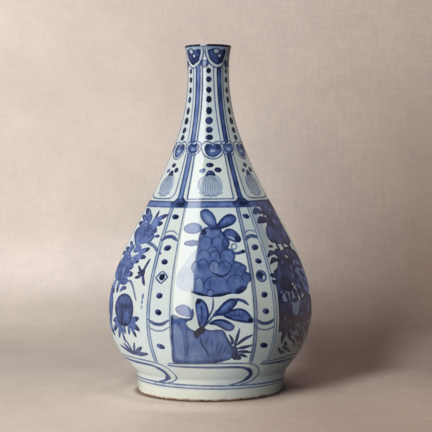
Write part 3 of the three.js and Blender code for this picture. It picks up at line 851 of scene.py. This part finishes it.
    for blade in ([(-4, 60), (6, 54), (15, 46)], [(0, 62), (11, 56), (21, 47)],
                  [(4, 62), (15, 57.6), (26, 50)], [(-8, 48), (2, 44.6), (10, 38)],
                  [(-2, 50), (8, 46), (17, 38.6)], [(-18, 42), (-8, 39.6), (3, 36)],
                  [(-26, 43), (-18, 38.6), (-9, 36.4)], [(4, 49), (14, 46), (24, 39)],
                  [(14, 40), (20, 38.6), (27, 36.4)]):
        face.leaf(blade, 2.6, 0.72)


def paint_column(face, jewel_is_round):
    """The narrow strip on a corner between two panels: dots, two pairs of bows and a jewel."""
    for z, half_width, half_height, turn in (
            (148.5, 3.2, 2, -8), (124, 3.4, 2.2, 12), (113.3, 3, 2.1, -6), (87, 3, 2.3, 8),
            (74, 3.1, 2.3, -8), (46.5, 3.9, 2.1, -12)):
        face.dab(0.2, z, half_width, half_height, 0.64, turn)
        face.dab(1.0, z - 0.4, half_width * 0.6, half_height * 0.65, DARK, turn)
    face.bow(0, 128, 9, 9.4, 43, 137, 1.1, 0.46)
    face.bow(0, 121.6, 10.5, 11.4, 48, 132, 2.8, 0.64)
    face.bow(0, 76.4, 13, 12, 224, 316, 2.6, 0.66)
    face.bow(0, 71.6, 14, 12.4, 226, 314, 1.2, 0.46)
    if jewel_is_round:
        face.dab(0, 101.5, 4.4, 3.9, 0.44)
        face.dab(-0.6, 101.9, 3.2, 2.9, 0.84)
        face.outline(face.oval(0, 101.5, 4.6, 4.2), 1.1, DEEP)
        face.leave_white(face.oval(2, 100.4, 1.2, 1.5, -30))
    else:
        face.dab(0.4, 101.6, 2.6, 2.6, DARK, 45)
        for side in ([(-5.4, 101), (-0.4, 106)], [(0.4, 106), (5.4, 102)], [(5.4, 101.4), (0.4, 96.6)],
                     [(-5.2, 100.4), (-0.2, 96.8)]):
            face.line(side, 1.2, 0.66, 0.8)


BORDER_LEVELS = np.array([33.5, 42, 55, 70, 85, 100, 115, 130, 145, 157])
BORDER_TURN = math.radians(22.9)
BORDER_GAP = 2.5
BORDER_LINE = 1.1


def paint_panel_border(face, side, inner_tone, outer_tone=None, wash=0.0):
    """The drawn edge of a panel: one line, or two with a thin wash between them."""
    edge = outer_radius(BORDER_LEVELS) * BORDER_TURN
    inner = np.stack([side * edge, BORDER_LEVELS], axis=1)
    if outer_tone:
        outer = np.stack([side * (edge + BORDER_GAP), BORDER_LEVELS], axis=1)
        face.line((inner + outer) / 2, BORDER_GAP, wash, 1)
        face.line(outer, BORDER_LINE, outer_tone, 1)
    face.line(inner, BORDER_LINE, inner_tone, 1)


def paint_foot_border(face):
    """One of the six long scrolls around the foot of the body."""
    face.line([(-37, 30.4), (-20, 29.6), (0, 29.2), (18, 29.1), (27, 28), (31.8, 25), (32.6, 21.8),
               (29.5, 18), (23, 15.3), (14, 13.4)], 2, 0.62)
    face.line([(24, 28.8), (30.5, 26), (32.3, 22.5), (30.5, 19), (25, 15.8)], 3.4, 0.72, 0.3)
    face.line([(-36.5, 32.3), (-15, 32.3), (10, 32.4), (28, 32), (35.5, 30), (39.3, 26), (39.8, 21.5),
               (36.5, 17.5), (30, 14.7), (23, 13.3)], 1.2, 0.52, 0.8)


RING_OVERLAP = 0.01


def paint_ring(painting, level, width, tone, slope=0.0):
    """A line right round the vase in six strokes; with a slope it runs lower on the vase's right."""
    half_turn = PANEL_PITCH / 2 + RING_OVERLAP
    turns = np.linspace(-half_turn, half_turn, 5)
    for number in range(PANELS):
        levels = level - slope * np.sin(number * PANEL_PITCH + turns)
        painting.panel(number).line(np.stack([outer_radius(level) * turns, levels], axis=1), width, tone, 1)


# The band's strength of cobalt on each panel, deepest on the panel to the right of the front
BAND_TONES = (0.52, 0.7, 0.56, 0.5, 0.56, 0.52)


def paint_shoulder_band(painting):
    """The broad blue band on the shoulder joint, with a dark knot on each corner under a stripe."""
    half = outer_radius(SHOULDER_LEVEL) * PANEL_PITCH / 2 + 1
    for number, band_tone in enumerate(BAND_TONES):
        face = painting.panel(number)
        face.line([(-half, 158.2), (0, 158.2), (half, 158.2)], 4.8, band_tone, 1, "wash")
        face.line([(-half, 156.1), (0, 156.1), (half, 156.1)], 1.2, 0.56, 1)
        face.line([(-half, 160.3), (0, 160.2), (half, 160.3)], 1.4, 0.7, 1)
    for number in range(PANELS):
        knot = painting.corner(number)
        knot.patch([(-2, 167), (-2.6, 163.6), (-5, 161.2), (-9, 159), (-5.4, 156.6), (0, 155.8), (6, 156.4),
                    (9.6, 158.6), (5.6, 161.4), (2.9, 164), (2.2, 167)], 0.74)
        knot.dab(1.6, 158.6, 4.6, 1.7, DARK, 4)


# Three pictures, each painted twice; round the back the hand sways, so that no two panels are the same
PANEL_PAINTERS = (paint_flowering_rock, paint_garden, paint_fruit_and_insect)
PANEL_BORDERS = (((0.42,), (0.63, 0.52, 0.27)), ((0.5, 0.42, 0.1), (0.6, 0.5, 0.3)),
                 ((0.5, 0.42, 0.1), (0.58, 0.5, 0.2)))
HAND_SWAY = (0.0, 0.0, 0.75, 0.6, 0.85, 0.0)


def paint_body(painting):
    """All that is painted on the body. A section of it takes the strokes that fall on it."""
    for number, sway in enumerate(HAND_SWAY):
        face = painting.panel(number, sway)
        picture = number % len(PANEL_PAINTERS)
        PANEL_PAINTERS[picture](face)
        for side, tones in zip((-1, 1), PANEL_BORDERS[picture]):
            paint_panel_border(face, side, *tones)
        paint_column(painting.corner(number, 0.5 * sway), number % 2 == 0)
        paint_foot_border(face)
    for level, tone in ((10.6, 0.48), (13.1, 0.54)):
        paint_ring(painting, level, 1.2, tone, slope=1.4)
    paint_shoulder_band(painting)


BODY_STEPS = 720
PAINT_ROW = 0.72
PLAIN_ROW = 8.0
FLOOR_TOP = 15.8
FLOOR_ROUNDING = 7.0


def painted_piece(name, form, node, paint):
    """A section of the wall with its painting."""
    made = piece(name, form, node, porcelain)
    painting = Painting(made.data)
    paint(painting)
    painting.fire()


belly_joint = joint_level("belly_seam")
lower_profile = [(0, foot_joint), (FOOT_INSIDE, foot_joint),
                 *rows(outer_radius, foot_joint, FOOT_BAND_TOP, PAINT_ROW),
                 *rows(outer_radius, FOOT_BAND_TOP, belly_joint, PAINT_ROW)[1:],
                 *rows(inner_radius, belly_joint, FLOOR_TOP, PLAIN_ROW), (0, FLOOR_TOP)]
lower_form = turned(lower_profile, BODY_STEPS, closed=False)
round_edge(lower_form, inner_radius(FLOOR_TOP), FLOOR_TOP, FLOOR_ROUNDING, segments=5)
painted_piece("lower_body_painted", lower_form, "lower_body", paint_body)


# Belly slip
# The bead of slip that is squeezed out inside where the two halves of the body are stuck together.
# The join is scraped flush outside, so nothing of it shows there under the glaze.
slip_bead("belly_slip", "belly_seam")


# Upper body
# The upper half of the belly, pressed in the same kind of mould and stuck on the lower half with slip.
# The painting goes on over the join.
UPPER_PAINT_ROW = 0.77
shoulder_joint = joint_level("shoulder_seam")
upper_profile = [*rows(outer_radius, belly_joint, shoulder_joint, UPPER_PAINT_ROW),
                 *rows(inner_radius, shoulder_joint, belly_joint, PLAIN_ROW)]
painted_piece("upper_body_painted", turned(upper_profile, BODY_STEPS), "upper_body", paint_body)


# Shoulder slip
# The bead of slip inside under the blue band, where the shoulder is stuck on the body. It is the same
# liquid clay as in the foot, squeezed out when the sections are pressed together.
slip_bead("shoulder_slip", "shoulder_seam")


# Shoulder
# A cone with six sides, pressed in a mould and stuck on the body under the blue band.
# Each side is painted with a shell between two stripes that run up the corners.
def paint_shell(face):
    """A pale, ribbed shell under a dark knot and three dots."""
    face.patch([(-4, 181.5), (-8, 178.8), (-9.8, 174), (-9.2, 169), (-5, 166.3), (0, 165.8), (5, 166.3),
                (9.6, 168.5), (10.8, 173), (9.6, 178), (5, 181.8)], 0.22)
    for share in np.linspace(-1, 1, 9):
        face.line([(3 * share, 181), (7.4 * share, 175), (9 * share + 0.4, 167.4 + 1.6 * share ** 2)], 0.95,
                  0.42, 0.6)
    for u, z in ((-7.4, 168.4), (-3.6, 166.6), (0.3, 166.2), (4.2, 166.6), (8, 168.2)):
        face.bow(u, z, 2, 1.5, 180, 360, 1.1, 0.42)
    face.line([(-5, 181), (-8.6, 178), (-10, 173.6), (-9.2, 169.4)], 1.2, 0.46, 0.3)
    face.leaf([(-3.4, 181.6), (0.4, 183.8), (4.4, 181.8)], 4, 0.78)
    face.dab(0, 190, 3.4, 1.9, 0.66)
    face.dab(1, 190, 1.9, 1.3, DARK)
    face.dab(-6.5, 185.5, 2.7, 1.6, 0.58, 15)
    face.dab(7, 186, 3.1, 2, 0.8, -10)


FRAME_LEVELS = np.array([199, 190, 180, 171])
FRAME_TURN = math.radians(22.6)


def paint_side_frame(face, rounded):
    """The thin line down both edges of a side of the shoulder, and along its lower edge."""
    edge = outer_radius(FRAME_LEVELS) * FRAME_TURN
    left = np.stack([-edge, FRAME_LEVELS], axis=1)
    right = np.stack([edge, FRAME_LEVELS], axis=1)[::-1]
    if rounded:
        low = [(-18.2, 166.4), (-15.6, 163.6), (-11, 162.9), (0, 162.6), (11, 162.9), (15.6, 163.6),
               (18.2, 166.4)]
        strokes = [[*left, *low, *right]]
    else:
        low_left = (-19.4, 162.6)
        low_right = (19.4, 162.6)
        strokes = [[*left, low_left], [low_left, (0, 162.6), low_right], [low_right, *right]]
    for stroke in strokes:
        face.line(stroke, 1.1, 0.56, 1)


# The stripes' strength of cobalt on each corner, deepest on the corner at the vase's right side
STRIPE_TONES = (0.66, 0.8, 0.46, 0.66, 0.52, 0.44)


def paint_stripe(face, levels, width, tone, lines):
    """A washed stripe up a corner, with thin lines along it."""
    face.line([(0, level) for level in levels], width, tone, 1, "wash")
    for offset, line_width, line_tone in lines:
        face.line([(offset, level) for level in levels], line_width, line_tone, 1)


HEAD_DRIFT = np.radians([4.5, 3.5, 0, 2, -1, 0])
SMALL_HEAD_DRIFT = np.radians([1, 0, 1, -1, 0, 3.5])


def paint_collar(painting):
    """The ring of cloud heads where the neck starts: broad ones on the sides, small ones on the corners."""
    for number in range(PANELS):
        sway = 0.5 * HAND_SWAY[number]
        face = Face(painting, number * PANEL_PITCH + HEAD_DRIFT[number], sway)
        face.patch([(-6.2, 203), (-4.8, 206.4), (-1.5, 206.6), (0.5, 205), (2.5, 206.8), (6, 206.6),
                    (7.8, 203.5), (5.6, 199.5), (1, 197), (-4, 198.5)], 0.58, 1.2, 0.74)
        face.dab(5, 204.6, 2.4, 2.1, 0.86)
        face.dab(-4, 204.4, 1.7, 1.8, 0.7)
        face.dab(0.3, 201.6, 2.2, 1.1, 0.24)
        face.outline([(-9.2, 204), (-8, 207.6), (-4.6, 209.4), (-1, 208.4), (0.5, 207.2), (2, 208.5),
                      (5.6, 209.4), (8.6, 207.5), (9.8, 203), (7, 197.4), (0.4, 195), (-6.8, 197.6)], 1.1,
                     0.57)
        face = Face(painting, (number + 0.5) * PANEL_PITCH + SMALL_HEAD_DRIFT[number], sway)
        face.patch([(-4.4, 205.3), (-2, 207.5), (0, 206.4), (3, 207.6), (4.9, 205), (3.6, 201.5), (0, 200),
                    (-3.6, 201.5)], 0.62, 1.1, 0.72)
        face.dab(0.2, 203, 1.9, 1.3, 0.34)
        face.outline([(-6.4, 205), (-5, 208.6), (-1.6, 209.7), (0, 208.8), (1.8, 209.7), (5.2, 208.6),
                      (6.7, 205), (4.7, 199.8), (0, 198), (-4.7, 199.8)], 1.1, 0.57)


def paint_shoulder(painting):
    paint_shoulder_band(painting)
    for number, sway in enumerate(HAND_SWAY):
        paint_shell(painting.panel(number, sway))
        paint_side_frame(painting.panel(number), number > 0)
        paint_stripe(painting.corner(number), (165, 172, 180, 190, 199), 4.2, STRIPE_TONES[number],
                     ((-1.8, 1.3, 0.77), (1.9, 1.1, 0.62)))
    paint_collar(painting)


SHOULDER_STEPS = 576
SHOULDER_ROW = 0.6
collar_joint = joint_level("collar_seam")
shoulder_profile = [*rows(outer_radius, shoulder_joint, collar_joint, SHOULDER_ROW),
                    *rows(inner_radius, collar_joint, shoulder_joint, PLAIN_ROW)]
painted_piece("shoulder_painted", turned(shoulder_profile, SHOULDER_STEPS), "shoulder", paint_shoulder)


# Collar slip
# The bead of slip inside the collar, where the neck is stuck on the shoulder. No hand fits in to wipe it,
# so it stays as it is squeezed out.
slip_bead("collar_slip", "collar_seam")


# Neck and lip
# A thrown neck, pressed to six soft sides while it is leather hard and stuck on the shoulder with slip.
# Its mouth is opened out a little, and the round lip is painted dark where the glaze runs thin.
def paint_neck_side(face):
    """A string of beads up the middle of one side of the neck."""
    for z, half_width, half_height in (
            (268.2, 2.1, 2.2), (261, 2.4, 2.4), (252.3, 2.3, 2.5), (244.4, 2.4, 2.8),
            (235, 2.6, 3.1), (226.7, 3.3, 3), (219, 3, 2.5), (212.8, 3.1, 2.4)):
        face.dab(0, z, half_width, half_height, 0.8)
        face.dab(0.7, z - 0.4, half_width * 0.6, half_height * 0.6, DARK)


def paint_lappet(face):
    """A hanging leaf under the lip, with a white edge and two white berries."""
    outer = [(-11.2, 288.4), (-10.6, 282.4), (-7.8, 275.6), (-3.8, 271.8), (0, 270.7), (3.8, 271.8),
             (7.8, 275.6), (10.6, 282.4), (11.2, 288.4)]
    face.leave_white(outer)
    face.line(outer, 1.1, 0.6, 1)
    # A pale wash at the top of the leaf is a painted highlight
    face.patch([(-8.4, 288), (-8, 284), (0, 282), (8, 284), (8.4, 288)], 0.24)
    face.patch([(-8, 284.8), (-7.6, 281.8), (-5.2, 276.9), (0, 273.7), (5.2, 276.9), (7.6, 281.8), (8, 285.4),
                (4, 285), (-3, 286)], 0.72, 1.1, 0.8)
    face.dab(3.6, 277.6, 3.4, 2.8, 0.82, 35)
    face.dab(6, 284, 1.8, 2.2, 0.84)
    for u, z, half_width, half_height in ((-1.4, 284.3, 2.1, 1.8), (1.7, 280.6, 1.5, 1.4)):
        face.outline(face.oval(u, z, half_width + 0.5, half_height + 0.5), 1.0, 0.84)
        face.leave_white(face.oval(u, z, half_width, half_height))
        face.dab(u, z, half_width, half_height, 0.15)


LAPPETS = 5
LAPPET_PITCH = 2 * math.pi / LAPPETS
FIRST_LAPPET = math.radians(25)


def paint_neck(painting):
    paint_collar(painting)
    for number, sway in enumerate(HAND_SWAY):
        paint_neck_side(painting.panel(number, 0.4 * sway))
        paint_stripe(painting.corner(number, 0.4 * sway), (209.6, 220, 232, 245, 258, 274), 4,
                     STRIPE_TONES[number],
                     ((-1.6, 1.3, 0.78), (1.8, 1.1, 0.62), (-4.9, 1.0, 0.5), (4.1, 1.1, 0.6)))
    for number in range(LAPPETS):
        paint_lappet(Face(painting, FIRST_LAPPET + number * LAPPET_PITCH))
        gap = Face(painting, FIRST_LAPPET + (number + 0.5) * LAPPET_PITCH)
        gap.patch([(-3.6, 275), (0, 276.8), (3.6, 275), (0, 271)], 0.6, 1.1, DEEP)
    # The dark lip, with a bare place in front
    paint_ring(painting, 289.2, 2.2, 1.0)
    painting.panel(0).leave_white([(-7.4, 290.6), (-1, 290.6), (-1.8, 288.7), (-4, 288.3), (-6.6, 288.6)])


NECK_STEPS = 384
NECK_ROW = 0.4
NECK_PLAIN_ROW = 3.0
LIP_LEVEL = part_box("neck")[1].z / MM
LIP_ROUNDING = 1.0
neck_profile = [*rows(outer_radius, collar_joint, LIP_LEVEL, NECK_ROW),
                *rows(inner_radius, LIP_LEVEL, collar_joint, NECK_PLAIN_ROW)]
neck_form = turned(neck_profile, NECK_STEPS)
for edge_radius in (outer_radius(LIP_LEVEL), inner_radius(LIP_LEVEL)):
    round_edge(neck_form, edge_radius, LIP_LEVEL, LIP_ROUNDING)
painted_piece("neck_painted", neck_form, "neck", paint_neck)


# Studio
# A table covered with warm grey-pink, linen-grained paper that sweeps up behind the vase. A tall softbox by
# the camera gives the long highlight; a broad soft lamp stands on the left and a third hangs overhead.
# Much of the light and shade on the paper is painted into its colour.
sweep_material, shader, place = new_material("backdrop_paper")
# The paper's colour holds painted light and shade: lighter on the left and higher up the wall, darker to the
# right and lower down
PAPER_PAINTED_LIT = (0.775, 0.677, 0.603, 1)
PAPER_PAINTED_SHADE = (0.262, 0.174, 0.138, 1)
LEFT_LOW = (0.725, 0.642, 0.58, 1)
LEFT_HIGH = (0.76, 0.675, 0.625, 1)
TABLE_PAINTED_LIT = (0.73, 0.615, 0.53, 1)
TABLE_PAINTED_SHADE = (0.49, 0.374, 0.305, 1)
paper_x, paper_y, paper_z = split(place)
low_down = paper_x.eased(-0.02, 0.345)
high_up = paper_x * 1.3 + paper_x.eased(0.125, 0.185, 0.35, 0.44)
to_the_right = paper_z.eased(0.2, 0.36, low_down, high_up)
to_the_left = to_the_right * -1.0 + 1.0
on_the_table = paper_y.fading(-0.12, 0.12)
wall_left = mix(paper_z.eased(0.27, 0.36), LEFT_LOW, LEFT_HIGH)
wall_right = mix(paper_z.eased(0.0, 0.75) * 0.6, PAPER_PAINTED_SHADE, PAPER_PAINTED_LIT)
table_tone = mix(paper_x.eased(-0.1, 0.11), TABLE_PAINTED_LIT, TABLE_PAINTED_SHADE)
paper_painted_shading = mix(on_the_table, mix(to_the_right, wall_left, wall_right), table_tone)

# Painted shade and light on the left: the paper is a little darker where the table runs back, and paler
# where it bends up. A painted pool of light round the foot stands for the white of the vase thrown on it,
# and a painted shadow lies dark under the foot's edge
measured = add_node(place.tree, "ShaderNodeVectorMath", {0: place}, operation="LENGTH")
from_middle = Value(measured.outputs["Value"])
shade_running_back = paper_y.eased(-0.12, 0.14) * paper_y.fading(0.22, 0.6) * to_the_left
light_bending_up = paper_z.eased(0.015, 0.055) * paper_z.fading(0.06, 0.12) * to_the_left
light_round_foot = from_middle.fading(0.08, 0.118) * paper_x.fading(-0.03, 0.06)
shadow_under_edge = from_middle.fading(0.0615, 0.068)
# A painted shadow of the vase leads from it to the right, along the table and up the wall
along = paper_y + paper_z
shadow_middle = along * 0.14 + along.eased(-0.04, 0.13, 0.05, 0.11)
shadow_reach = along * 0.15 + 0.07
off_shadow = (paper_x - shadow_middle).reckon("ABSOLUTE") / shadow_reach
painted_shadow = off_shadow.fading(0.25, 1.0) * along.fading(0.2, 0.95) * along.eased(-0.05, 0.01)
BACK_SHADE_TONE = (0.79, 0.79, 0.785, 1)
BEND_LIGHT_TONE = (1.21, 1.225, 1.27, 1)
FOOT_LIGHT_TONE = (1.36, 1.38, 1.39, 1)
EDGE_SHADOW_TONE = (0.42, 0.36, 0.33, 1)
SHADOW_TONE = (0.29, 0.215, 0.21, 1)
for share, tone in ((shade_running_back, BACK_SHADE_TONE), (light_bending_up, BEND_LIGHT_TONE), (light_round_foot, FOOT_LIGHT_TONE),
                    (shadow_under_edge, EDGE_SHADOW_TONE), (painted_shadow, SHADOW_TONE)):
    paper_painted_shading = mix(share, paper_painted_shading, tone, "MULTIPLY")

# Clouds and grain
paper_fibre = noise(place, 260, 3, 0.6)
paper_cloud = noise(place, 9.0, 5, 0.65)
cloudy = (paper_fibre * 0.3 + paper_cloud * 0.7).eased(0.25, 0.75, 0.89, 1.09)
weft = noise(stretched(place, 0.16, 1, 1), 260, 3, 0.65)
warp = noise(stretched(place, 1, 0.16, 0.16), 260, 3, 0.65)
grain = (weft + warp).eased(0.7, 1.3, -1.0, 1.0)
grain_depth = paper_x.eased(-0.1, 0.2, 0.025, 0.065)
paper_seen = mix(1.0, paper_painted_shading, cloudy * (grain * grain_depth + 1.0), "MULTIPLY")

# What the paper throws back on the vase and what the glaze mirrors of it are colours of their own: painted
# light thrown on the vase from the left and front and almost none from the right, which leaves its right side
# in painted shade, and a painted reflection that is warmer and brighter on the right. The wall also has a
# faint painted glow of its own
UNLIT_PAPER = (0.05, 0.045, 0.04, 1)
THROWING_PAPER = (0.92, 0.83, 0.745, 1)
GLOSS_LEFT = (0.27, 0.225, 0.215, 1)
GLOSS_RIGHT = (0.5, 0.35, 0.265, 1)
thrown_back = mix((paper_y * 0.25 + paper_x).eased(-0.04, 0.06), THROWING_PAPER, UNLIT_PAPER)
in_the_gloss = mix(on_the_table, mix(to_the_right, GLOSS_LEFT, GLOSS_RIGHT), thrown_back)
ray = add_node(place.tree, "ShaderNodeLightPath").outputs
thrown_back = mix(Value(ray["Is Glossy Ray"]), thrown_back, in_the_gloss)
camera_ray = Value(ray["Is Camera Ray"])
# The painted glow, seen only by the camera, grows higher up the wall
WALL_PAINTED_GLOW = (0.155, 0.132, 0.117, 1)
NO_GLOW = (0, 0, 0, 1)
fill(shader, {"Base Color": mix(camera_ray, thrown_back, paper_seen), "Emission Strength": 1.0,
              "Emission Color": mix(paper_z.eased(-0.06, 0.26) * camera_ray, NO_GLOW, WALL_PAINTED_GLOW),
              "Roughness": paper_fibre.eased(0.3, 0.7, 0.85, 0.95)})
# From behind and below, the paper isn't seen
seen_behind = Value(add_node(place.tree, "ShaderNodeNewGeometry").outputs["Backfacing"])
nothing = Value(add_node(place.tree, "ShaderNodeBsdfTransparent").outputs[0])
both_sides = {0: seen_behind, 1: Value(shader.outputs[0]), 2: nothing}
paper_or_nothing = add_node(place.tree, "ShaderNodeMixShader", both_sides)
fill(place.tree.nodes["Material Output"], {"Surface": Value(paper_or_nothing.outputs[0])})

SWEEP_HALF_WIDTH = 1.6
SWEEP_FRONT = -0.42
SWEEP_BACK = 0.62
SWEEP_TOP = 1.6
SWEEP_BEND = 0.2
BEND_SEGMENTS = 16
FOLD_TOLERANCE = 1e-6
sweep_form = bmesh.new()
paper_edge = [sweep_form.verts.new((-SWEEP_HALF_WIDTH, y, z)) for y, z in
              ((SWEEP_FRONT, 0), (SWEEP_BACK, 0), (SWEEP_BACK, SWEEP_TOP))]
paper_edges = [sweep_form.edges.new(ends) for ends in zip(paper_edge, paper_edge[1:])]
drawn_out = bmesh.ops.extrude_edge_only(sweep_form, edges=paper_edges)["geom"]
bmesh.ops.translate(sweep_form, verts=[part for part in drawn_out if isinstance(part, bmesh.types.BMVert)],
                    vec=(2 * SWEEP_HALF_WIDTH, 0, 0))


def at_the_fold(edge):
    return all(abs(end.co.y - SWEEP_BACK) + abs(end.co.z) < FOLD_TOLERANCE for end in edge.verts)


bmesh.ops.bevel(sweep_form, geom=[edge for edge in sweep_form.edges if at_the_fold(edge)], offset=SWEEP_BEND,
                offset_type="OFFSET", affect="EDGES", segments=BEND_SEGMENTS, profile=0.5, material=-1)
bmesh.ops.recalc_face_normals(sweep_form, faces=sweep_form.faces)
turned_away = [part for part in sweep_form.faces if part.normal.z - part.normal.y < 0]
bmesh.ops.reverse_faces(sweep_form, faces=turned_away)
sweep_mesh = bpy.data.meshes.new("backdrop_sweep")
sweep_form.to_mesh(sweep_mesh)
sweep_form.free()
sweep_mesh.shade_smooth()
sweep_mesh.materials.append(sweep_material)
sweep = bpy.data.objects.new("backdrop_sweep", sweep_mesh)
bpy.context.scene.collection.objects.link(sweep)


LAMP_AIM = Vector((0, 0, 0.1))


def soft_lamp(name, width, height, watts, colour, azimuth, elevation, distance, lean=0.0, in_gloss=False):
    """A flat soft lamp that faces the vase. Angles are in degrees, azimuth from the front to the right."""
    lamp = bpy.data.lights.new(name, "AREA")
    lamp.shape = "RECTANGLE"
    lamp.size = width
    lamp.size_y = height
    lamp.energy = watts
    lamp.color = colour
    made = bpy.data.objects.new(name, lamp)
    turn = math.radians(azimuth)
    rise = math.radians(elevation)
    level_distance = distance * math.cos(rise)
    made.location = LAMP_AIM + Vector((level_distance * math.sin(turn), -level_distance * math.cos(turn),
                                       distance * math.sin(rise)))
    facing = (LAMP_AIM - made.location).to_track_quat("-Z", "Y").to_matrix()
    made.rotation_euler = (facing @ Matrix.Rotation(math.radians(lean), 3, "Z")).to_euler()
    made.visible_camera = False
    made.visible_glossy = in_gloss
    bpy.context.scene.collection.objects.link(made)


WARM_WHITE = (1, 0.985, 0.965)
soft_lamp("tall_softbox", width=0.24, height=1.95, watts=8.9, colour=(1, 0.99, 0.98),
          azimuth=-10.9, elevation=27, distance=1.6, lean=1.5, in_gloss=True)
soft_lamp("broad_lamp", width=1.5, height=1.2, watts=25.5, colour=WARM_WHITE,
          azimuth=-65, elevation=14, distance=2.1)
soft_lamp("top_lamp", width=0.9, height=0.9, watts=15.5, colour=WARM_WHITE,
          azimuth=68, elevation=78, distance=1.8)

# The room gives a little light; behind the paper the camera sees a plain pale wall
ROOM_LIGHT = 0.02
ROOM_WALL = 0.55
ROOM_COLOUR = (1, 0.93, 0.87, 1)
world = bpy.data.worlds.new("room")
world.use_nodes = True
seen = Value(add_node(world.node_tree, "ShaderNodeLightPath").outputs["Is Camera Ray"])
fill(world.node_tree.nodes["Background"],
     {"Color": ROOM_COLOUR, "Strength": seen * (ROOM_WALL - ROOM_LIGHT) + ROOM_LIGHT})
bpy.context.scene.world = world

# The camera stands a little above the middle of the vase and looks slightly down
CAMERA_DISTANCE = 1.1169
CAMERA_LEVEL = 0.1916
CAMERA_AZIMUTH = math.radians(-1.0)
CAMERA_ROLL = math.radians(-0.48)
AIM_RIGHT = 0.00549
AIM_LEVEL = 0.1469
FOCAL_PIXELS = 1323
PHOTO_WIDTH = 432
SENSOR_WIDTH = 36
camera_right = Vector((math.cos(CAMERA_AZIMUTH), math.sin(CAMERA_AZIMUTH), 0))
camera_place = Vector((math.sin(CAMERA_AZIMUTH), -math.cos(CAMERA_AZIMUTH), 0)) * CAMERA_DISTANCE
camera_place.z = CAMERA_LEVEL
camera_aim = camera_right * AIM_RIGHT + Vector((0, 0, AIM_LEVEL))
camera_data = bpy.data.cameras.new("photo_camera")
camera_data.sensor_width = SENSOR_WIDTH
camera_data.lens = SENSOR_WIDTH * FOCAL_PIXELS / PHOTO_WIDTH
camera = bpy.data.objects.new("photo_camera", camera_data)
facing = (camera_aim - camera_place).to_track_quat("-Z", "Y").to_matrix().to_4x4()
camera.matrix_world = Matrix.Translation(camera_place) @ facing @ Matrix.Rotation(CAMERA_ROLL, 4, "Z")
bpy.context.scene.collection.objects.link(camera)
bpy.context.scene.camera = camera
bpy.context.scene.view_settings.view_transform = "Standard"
